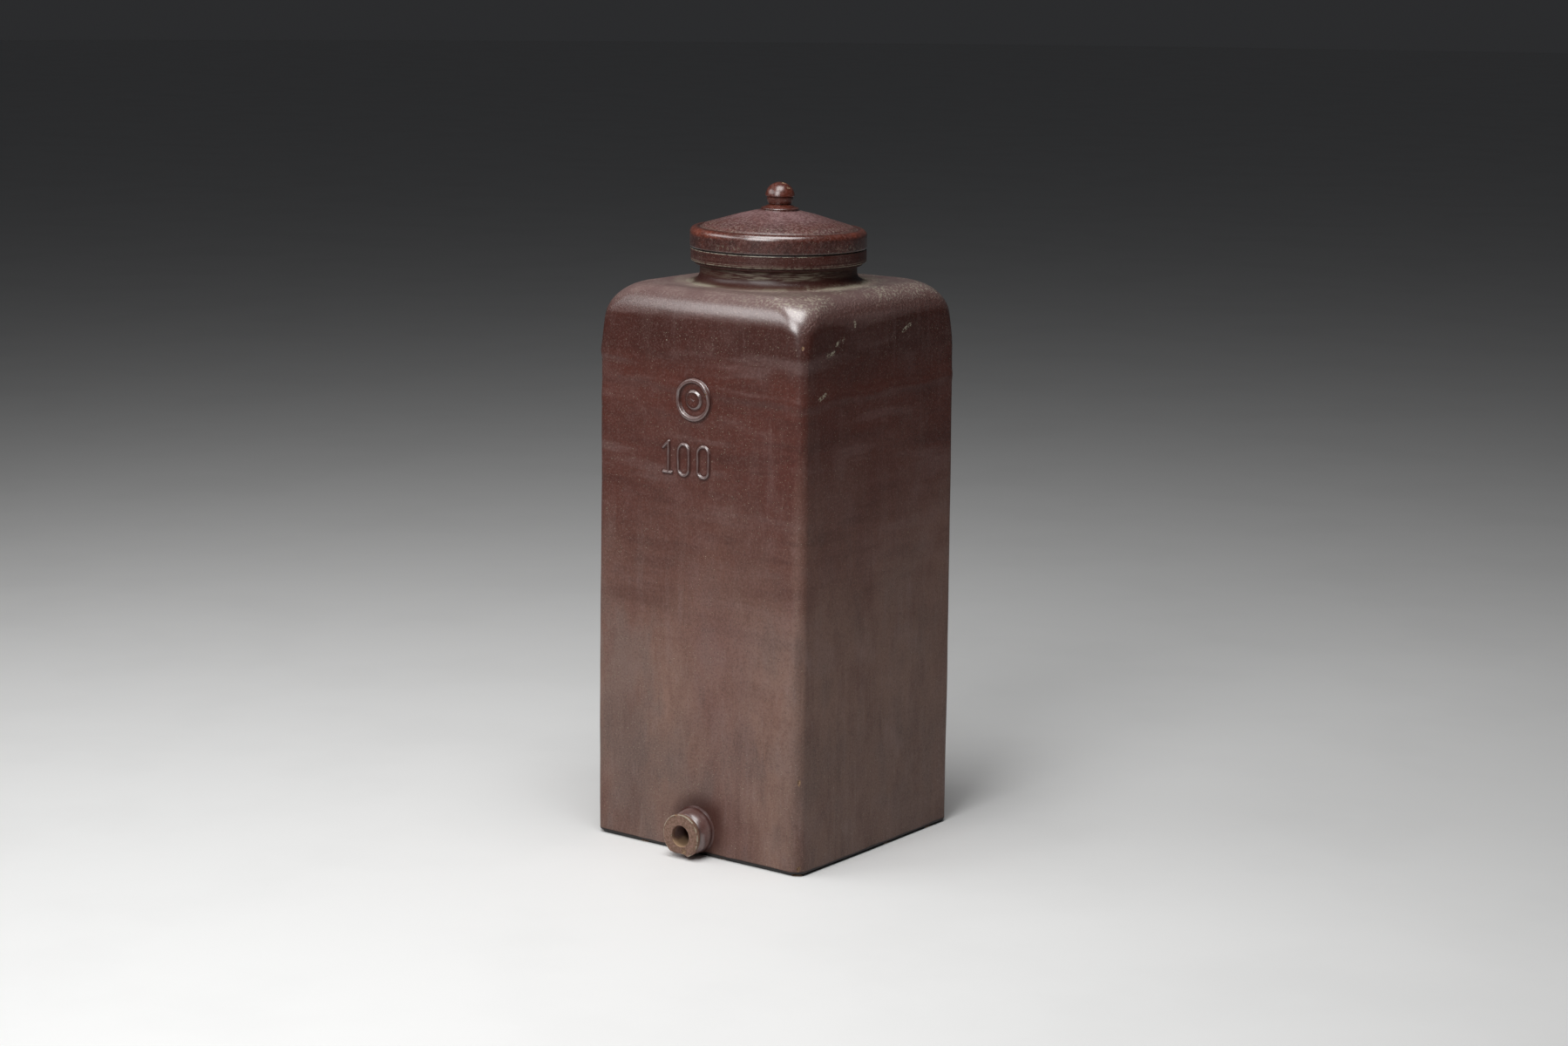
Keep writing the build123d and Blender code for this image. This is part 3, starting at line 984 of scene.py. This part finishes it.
def spout_glaze(colours):
    """Glaze on the boss, and ground stoneware on the flange."""
    finish = Finish("spout_glaze")
    fade, mottle = finish.fade, finish.mottle
    grain = mottle(260, 5)
    ground = fade(finish.y, -SPOUT_FACE + 9 * MM, -SPOUT_FACE + 6 * MM)
    hazed = 0.2 + 0.6 * fade(mottle(40, 3), 0.35, 0.65)
    glazed = finish.painted(colours.oxblood, (hazed, colours.bloom))
    matt = finish.painted(colours.ground, (fade(grain, 0.40, 0.62), colours.greyed))
    out = finish.apart(finish.seen_from_front(), (0, SPOUT_HEIGHT))
    silted = fade(out, 16.9 * MM, 16.4 * MM)
    silted = silted * fade(finish.z + 0.012 * grain, SPOUT_HEIGHT + 2 * MM, SPOUT_HEIGHT - 6 * MM)
    rim = fade(out, 31.2 * MM, 32 * MM) * fade(finish.y, -SPOUT_FACE + 2.6 * MM, -SPOUT_FACE + 1.6 * MM)
    joined = fade(finish.y, -JAR_HALF - 9 * MM, -JAR_HALF - 2 * MM)
    base = finish.painted(
        flecked(finish, finish.painted(glazed, (ground, matt)), colours),
        (silted * 0.75, colours.clay),
        (rim * ground * fade(mottle(130, 3), 0.36, 0.54) * 0.6, colours.deposit),
        (joined * 0.8, colours.deep),
    )
    coat = (0.8 - 0.8 * ground) * (1 - joined)
    return finish.done(base, 0.36 + 0.26 * ground, peel(finish), 0.5 * MM, coat)


def bare_clay(colours):
    """Clay in a chip."""
    finish = Finish("bare_clay")
    grain = finish.mottle(420, 5)
    base = finish.painted(colours.clay, (finish.fade(grain, 0.25, 0.60), colours.ground))
    return finish.done(base, 0.75 + 0.2 * grain, grain, 0.6 * MM)


def inside_glaze(colours):
    """Thin brown glaze inside the jar."""
    finish = Finish("inside_glaze")
    runs = finish.mottle(30, 4, (1, 1, 0.12))
    base = finish.painted(colours.inside, (finish.fade(runs, 0.35, 0.7), colours.dark_iron))
    return finish.done(base, 0.40 + 0.2 * runs, peel(finish), 0.35 * MM)


def ground_stoneware(colours):
    """Unglazed clay of the lid's locating ring."""
    finish = Finish("ground_stoneware")
    grain = finish.mottle(300, 5)
    rings = finish.mottle(20, 3, (1, 1, 30))
    pale = finish.fade(grain * 0.6 + rings * 0.4, 0.38, 0.62)
    base = finish.painted(colours.ground, (pale, colours.clay))
    return finish.done(base, 0.70 + 0.2 * grain, grain * 0.5 + rings, 0.3 * MM)


def pale_floor(colours):
    """Pale floor of a studio, faintly scuffed."""
    finish = Finish("pale_floor")
    scuffs = finish.mottle(3, 5)
    scuffed = [0.97 * share for share in colours.floor]
    base = finish.painted(colours.floor, (finish.fade(scuffs, 0.4, 0.7), scuffed))
    return finish.done(base, 0.55 + 0.1 * scuffs, scuffs, 0.2 * MM)


def shared(make):
    """The finish that a function makes, made when the first piece asks for it."""
    return bpy.data.materials.get(make.__name__) or make(bpy.context.scene.jar_colours)


# Operators


def aimed(azimuth, elevation):
    """The direction from the jar's front, turned to the right and raised."""
    level = cos(elevation)
    return Vector((sin(azimuth) * level, -cos(azimuth) * level, sin(elevation)))


def camera_right(distance):
    """A level offset towards the right of the photograph."""
    return Vector((cos(VIEW_AZIMUTH), sin(VIEW_AZIMUTH), 0)) * distance


def camera_near(distance):
    """A level offset towards the camera of the photograph."""
    return Vector((sin(VIEW_AZIMUTH), -cos(VIEW_AZIMUTH), 0)) * distance


class JAR_OT_body(bpy.types.Operator):
    """Builds the square body, its shoulder and its neck as one skin"""

    bl_idname = "jar.body"
    bl_label = "Body"

    def execute(self, context):
        sizes = context.scene.jar_body
        body = body_skin(sizes)
        nodes = ("front_wall", "right_wall", "back_wall", "left_wall", "floor_slab", "shoulder", "neck")
        finished(body, "jar", "salt_glazed_wall", (body_glaze, inside_glaze, bare_clay), *nodes)
        bore = context.scene.jar_spout.bore_radius
        hole = bmesh.new()
        turn = Matrix.Translation((0, -JAR_HALF, SPOUT_HEIGHT)) @ Matrix.Rotation(pi / 2, 4, "X")
        ends = {"radius1": bore, "radius2": bore, "depth": 4 * sizes.wall}
        bmesh.ops.create_cone(hole, cap_ends=True, segments=64, matrix=turn, **ends)
        lumps = [made(hole, "bore", 1)]
        for (across, away, height), size, lean in EDGE_CHIPS:
            start = Vector((across, away, height)) * MM
            place = met(body, start, Vector((-across, -away, 0)))
            lumps.append(chip(place, size, lean, 2))
        cut_away(body, lumps)
        return {"FINISHED"}


class JAR_OT_roundel(bpy.types.Operator):
    """Builds the plain roundel: a button inside one raised ring"""

    bl_idname = "jar.roundel"
    bl_label = "Roundel"

    def execute(self, context):
        sizes = context.scene.jar_relief
        outer = sizes.roundel_radius
        inner = outer - sizes.ring_width
        slope, sunk = 1.6 * MM, 2.5 * MM
        corners = [
            (0.4 * MM, sizes.button_height, 0),
            (sizes.button_radius - 3 * MM, sizes.button_height * 0.9, 2.4 * MM),
            (sizes.button_radius, 0.4 * MM, 1.2 * MM),
            (inner - 0.5 * MM, 0.4 * MM, 1 * MM),
            (inner + slope, sizes.ring_height, 1.1 * MM),
            (outer - slope, sizes.ring_height, 1.3 * MM),
            (outer, 0.3 * MM, 0.8 * MM),
            (outer + sunk, -0.8 * MM, 0),
        ]
        outline = spaced(rounded_outline(corners), 1.2 * MM)
        outline = [Vector((outer + sunk, -sunk))] + outline[::-1]

        def placed(radius, rise, angle):
            soft = out_of_true(3, angle, 90 * radius)
            reach = radius + 0.35 * MM * soft
            across, above = reach * cos(angle), reach * sin(angle)
            spot = front_face(ROUNDEL_MIDDLE.x + across, ROUNDEL_MIDDLE.z + above)
            spot.y -= rise * (1 + 0.12 * soft)
            return spot

        middle = front_face(ROUNDEL_MIDDLE.x, ROUNDEL_MIDDLE.z)
        back, top = [middle + Vector((0, away, 0)) for away in (sunk, -sizes.button_height)]
        roundel = skin("roundel_relief", turned(outline, 96, placed), back, top)
        finished(roundel, "jar", "salt_glazed_shoulder", (body_glaze, bare_clay), "roundel")
        spot = met(roundel, (18.3 * MM, -1, 695.3 * MM), (0, 1, 0))
        cut_away(roundel, [chip(spot, (2.6, 1.6, 4.5), (0, 30, 0), 1)])
        return {"FINISHED"}


def stroke_distance(across, above, strokes):
    """Distance from the middle of the nearest stroke of a numeral."""
    nearest = []
    for start, end, ring in strokes:
        start, along = Vector(start) * MM, (Vector(end) - Vector(start)) * MM
        offset = Vector((across, above)) - start
        share = min(1, max(0, offset.dot(along) / along.length_squared))
        nearest.append(abs((offset - along * share).length - ring * MM))
    return min(nearest)


def relief(name, middle, sizes, strokes):
    """A raised numeral on the front wall, as a closed sheet whose edge lies just under the glaze."""
    spacing, sink, thickness = 0.7 * MM, 0.5 * MM, 1.2 * MM
    width, height = 36 * MM, 64 * MM
    columns, rows = ceil(width / spacing), ceil(height / spacing)
    grid = {}
    for column in range(columns + 1):
        for row in range(rows + 1):
            across, above = (column - columns / 2) * spacing, (row - rows / 2) * spacing
            place = Vector((across, above, middle))
            shake = noise.noise(place * 90) * 0.6 * MM
            fullness = 1 + 0.25 * noise.noise(place * 60 + Vector((5, 5, 5)))
            share = stroke_distance(across + shake, above, strokes) / sizes.stroke
            rise = sizes.stroke_height * fullness * exp(-((0.95 * share) ** 3)) - sink
            if rise > -0.97 * sink:
                place = front_face(middle + across, NUMERAL_LEVEL * MM + above)
                place.y -= rise
                grid[column, row] = place
    numbers, faces, sides = {}, [], {}
    for column, row in grid:
        cell = [(column, row), (column + 1, row), (column + 1, row + 1), (column, row + 1)]
        if all(corner in grid for corner in cell):
            ring = [numbers.setdefault(corner, len(numbers)) for corner in cell]
            faces.append(ring)
            sides.update(dict.fromkeys(zip(ring, ring[1:] + ring[:1])))
    top = [grid[corner] for corner in numbers]
    faces += [[number + len(top) for number in reversed(ring)] for ring in faces]
    for start, end in sides:
        if (end, start) not in sides:
            faces.append([end, start, start + len(top), end + len(top)])
    under = [place + Vector((0, thickness, 0)) for place in top]
    return added(name, top + under, faces)


class JAR_OT_numerals(bpy.types.Operator):
    """Builds the raised numerals of the jar's size, in a plain hand"""

    bl_idname = "jar.numerals"
    bl_label = "Numerals"

    def execute(self, context):
        for name, middle, strokes in NUMERALS:
            piece = relief(name, middle * MM, context.scene.jar_relief, strokes)
            finished(piece, "jar", "salt_glazed_wall", (body_glaze,))
        return {"FINISHED"}


class JAR_OT_spout(bpy.types.Operator):
    """Builds the outlet spout, with its flange broken below"""

    bl_idname = "jar.spout"
    bl_label = "Spout"

    def execute(self, context):
        sizes = context.scene.jar_spout
        reach = SPOUT_FACE - JAR_HALF
        flange_back = reach - sizes.flange_thickness
        groove = flange_back - sizes.groove_width
        boss, bore, flange = sizes.boss_radius, sizes.bore_radius, sizes.flange_radius
        corners = [
            (bore, -4 * MM, 0),
            (boss + sizes.skirt, -4 * MM, 0),
            (boss + sizes.skirt, -1.2 * MM, 0),
            (boss + 0.4 * MM, 0.6 * MM, sizes.skirt / 2),
            (boss, sizes.boss_length, 0),
        ]
        neck = quarter((boss, sizes.boss_length), (sizes.groove_radius, groove), 8, False)
        corners += [(radius, out, 0) for radius, out in neck]
        corners += [
            (sizes.groove_radius, flange_back, 0.8 * MM),
            (flange, flange_back, 1.2 * MM),
            (flange, reach, 1.4 * MM),
            (bore, reach, 1.2 * MM),
            (bore, -4 * MM, 0),
        ]
        outline = spaced(rounded_outline(corners), 2.5 * MM)[:-1]

        def placed(radius, out, angle):
            outside = radius > bore + 1 * MM
            reach = radius + outside * 0.5 * MM * out_of_true(2, angle, 40 * out)
            lift = outside * sizes.boss_lift * max(0, 1 - max(0, out) / groove)
            level = SPOUT_HEIGHT + lift + reach * sin(angle)
            return Vector((reach * cos(angle), -JAR_HALF - out, level))

        spout = skin("spout", turned(outline, 96, placed), closed=True)
        finished(spout, "jar", "ground_stoneware", (spout_glaze, bare_clay), "outlet_spout")
        lumps = []
        for across, above, size, lean, material_index in SPOUT_CHIPS:
            place = (across * MM, -SPOUT_FACE, SPOUT_HEIGHT + above * MM)
            lumps.append(chip(place, size, lean, material_index))
        cut_away(spout, lumps)
        return {"FINISHED"}


class JAR_OT_lid(bpy.types.Operator):
    """Builds the lid: a banded rim that rolls over into a groove, and a low dome"""

    bl_idname = "jar.lid"
    bl_label = "Lid"

    def execute(self, context):
        sizes = context.scene.jar_lid
        bevel = context.scene.jar_body.seat_bevel
        roll_top = LID_SEAT + sizes.band + sizes.roll
        under_top = DOME_TOP - sizes.thickness
        rim = LID_RADIUS + 0.5 * MM
        corners = [
            (0.5 * MM, under_top, 0),
            (28 * MM, under_top, 12 * MM),
            (sizes.under_radius, roll_top - sizes.thickness, 6 * MM),
            (sizes.under_radius, LID_SEAT, 0.8 * MM),
            (rim - bevel, LID_SEAT, 0.5 * MM),
            (rim, LID_SEAT + bevel, bevel),
            (rim, roll_top, sizes.roll),
            (sizes.groove_radius + 1.5 * MM, roll_top, 1.2 * MM),
            (sizes.groove_radius - 1 * MM, roll_top - sizes.groove_depth, 1.5 * MM),
            (sizes.dome_foot_radius, LID_SEAT + sizes.dome_foot_rise, 8 * MM),
            (sizes.dome_middle_radius, LID_SEAT + sizes.dome_middle_rise, 90 * MM),
            (24 * MM, DOME_TOP, 20 * MM),
            (0.5 * MM, DOME_TOP, 0),
        ]
        outline = spaced(rounded_outline(corners), 3 * MM)
        middle = camera_right(sizes.lid_shift)
        lid = thrown("lid_dome", outline, 192, middle, 0.4 * MM, under_top, DOME_TOP)
        finished(lid, "lid", "salt_glazed_lid", (lid_glaze,), "lid")
        return {"FINISHED"}


class JAR_OT_knob(bpy.types.Operator):
    """Builds the knob: a ball on a waisted shank with a small collar"""

    bl_idname = "jar.knob"
    bl_label = "Knob"

    def execute(self, context):
        sizes = context.scene.jar_lid
        foot = DOME_TOP - 1.5 * MM
        collar = DOME_TOP + sizes.collar_height
        waist = DOME_TOP + sizes.waist_rise
        seam = DOME_TOP + sizes.shank_rise
        ball = KNOB_TOP - sizes.ball_radius
        skirt = [
            (0.5 * MM, foot, 0),
            (sizes.collar_radius, foot, 0.5 * MM),
            (sizes.collar_radius, collar - 0.6 * MM, 1.4 * MM),
            (sizes.collar_radius - 5 * MM, collar + 1 * MM, 4 * MM),
            (sizes.waist_radius + 2 * MM, waist - 0.8 * MM, 1.6 * MM),
            (sizes.waist_radius, waist, 0),
        ]
        outline = spaced(rounded_outline(skirt), 1.2 * MM)
        outline += quarter((sizes.waist_radius, waist), (sizes.shank_radius, seam), 8, True)
        low = asin((seam - ball) / sizes.ball_radius)
        notch = [(sizes.shank_radius - 0.9 * MM, seam + 0.3 * MM), (sizes.shank_radius, seam + 0.9 * MM)]
        outline += [Vector(place) for place in notch]
        steps = 24
        reach = sizes.ball_radius + sizes.ball_bulge
        for step in range(2, steps):
            turn = low + (pi / 2 - low) * step / steps
            outline.append(Vector((reach * cos(turn), ball + sizes.ball_radius * sin(turn))))
        middle = camera_right(sizes.knob_shift)
        knob = thrown("lid_handle", outline, 96, middle, 0.35 * MM, foot, KNOB_TOP)
        finished(knob, "lid", "salt_glazed_lid", (lid_glaze, bare_clay), "lid_knob")
        top = Vector((middle.x, middle.y, 2 * KNOB_TOP))
        lumps = []
        for across, toward, radius, stand_off in KNOB_CHIPS:
            start = top + camera_right(across * MM) + camera_near(toward * MM)
            place = met(knob, start, (0, 0, -1), stand_off)
            lumps.append(chip(place, (radius, radius, radius), (0, 0, 0), 1))
        cut_away(knob, lumps)
        return {"FINISHED"}


class JAR_OT_locating_ring(bpy.types.Operator):
    """Finishes the lid's locating ring in unglazed stoneware"""

    bl_idname = "jar.locating_ring"
    bl_label = "Locating ring"

    def execute(self, context):
        clothe(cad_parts["lid_locating_ring"], ground_stoneware)
        return {"FINISHED"}


class JAR_OT_stage(bpy.types.Operator):
    """Sets up the pale floor, the soft light and the camera of the photograph"""

    bl_idname = "jar.stage"
    bl_label = "Stage"

    def execute(self, context):
        scene = context.scene
        scene.view_settings.view_transform = "Standard"
        settings = scene.jar_stage
        reaches = [(reach, 0) for reach in (30, 16, 8, 4, 2, 1, 0.5)]
        floor = skin("floor", turned(reaches, 64, round_axis), None, Vector((0, 0, 0)))
        clothe(floor, pale_floor)

        world = bpy.data.worlds.new("studio")
        scene.world = world
        world.use_nodes = True
        backdrop = world.node_tree.nodes["Background"]
        backdrop.inputs["Color"].default_value = (*scene.jar_colours.backdrop, 1)
        backdrop.inputs["Strength"].default_value = settings.ambient

        for name, (power, width, depth, azimuth, elevation) in LAMPS.items():
            outward = aimed(radians(azimuth), radians(elevation))
            lamp = bpy.data.lights.new(name, "AREA")
            lamp.energy = settings.light * power
            lamp.shape = "RECTANGLE"
            lamp.size = width
            lamp.size_y = depth
            softbox = linked(name, lamp)
            softbox.location = Vector((0, 0, SHOULDER_TOP / 2)) + outward * settings.distance
            softbox.rotation_euler = outward.to_track_quat("Z", "Y").to_euler()

        camera_data = bpy.data.cameras.new("camera")
        camera_data.sensor_width = SENSOR_WIDTH
        camera_data.lens = SENSOR_WIDTH * PHOTO_FOCAL / PHOTO_WIDTH
        camera_data.clip_end = 100
        camera = linked("camera", camera_data)
        forward = -aimed(VIEW_AZIMUTH - CAMERA_ASIDE, CAMERA_PITCH)
        right = forward.cross(Vector((0, 0, 1))).normalized()
        right = Matrix.Rotation(-CAMERA_ROLL, 3, forward) @ right
        up = right.cross(forward)
        place = Matrix((right, up, -forward)).transposed().to_4x4()
        place.translation = camera_near(CAMERA_DISTANCE) + Vector((0, 0, CAMERA_HEIGHT))
        camera.matrix_world = place
        scene.camera = camera
        return {"FINISHED"}


OPERATORS = (
    JAR_OT_body,
    JAR_OT_roundel,
    JAR_OT_numerals,
    JAR_OT_spout,
    JAR_OT_lid,
    JAR_OT_knob,
    JAR_OT_locating_ring,
    JAR_OT_stage,
)
SETTINGS = {
    "jar_body": JarBodySizes,
    "jar_lid": JarLidSizes,
    "jar_spout": JarSpoutSizes,
    "jar_relief": JarReliefSizes,
    "jar_colours": JarColours,
    "jar_stage": JarStage,
}


class JAR_PT_panel(bpy.types.Panel):
    """Lists the jar's pieces and their sizes in the sidebar"""

    bl_label = "Stoneware jar"
    bl_idname = "JAR_PT_panel"
    bl_space_type = "VIEW_3D"
    bl_region_type = "UI"
    bl_category = "Jar"

    def draw(self, context):
        for operator in OPERATORS:
            self.layout.operator(operator.bl_idname)
        for name in SETTINGS:
            settings = getattr(context.scene, name)
            box = self.layout.box()
            for key in settings.bl_rna.properties.keys():
                if key not in ("rna_type", "name"):
                    box.prop(settings, key)


def register():
    for kind in (*SETTINGS.values(), *OPERATORS, JAR_PT_panel):
        bpy.utils.register_class(kind)
    for name, kind in SETTINGS.items():
        setattr(bpy.types.Scene, name, PointerProperty(type=kind))


def unregister():
    for name in SETTINGS:
        delattr(bpy.types.Scene, name)
    for kind in (JAR_PT_panel, *OPERATORS, *SETTINGS.values()):
        bpy.utils.unregister_class(kind)


def main():
    register()
    bpy.ops.jar.body()
    bpy.ops.jar.roundel()
    bpy.ops.jar.numerals()
    bpy.ops.jar.spout()
    bpy.ops.jar.lid()
    bpy.ops.jar.knob()
    bpy.ops.jar.locating_ring()
    bpy.ops.jar.stage()


if __name__ == "__main__":
    main()
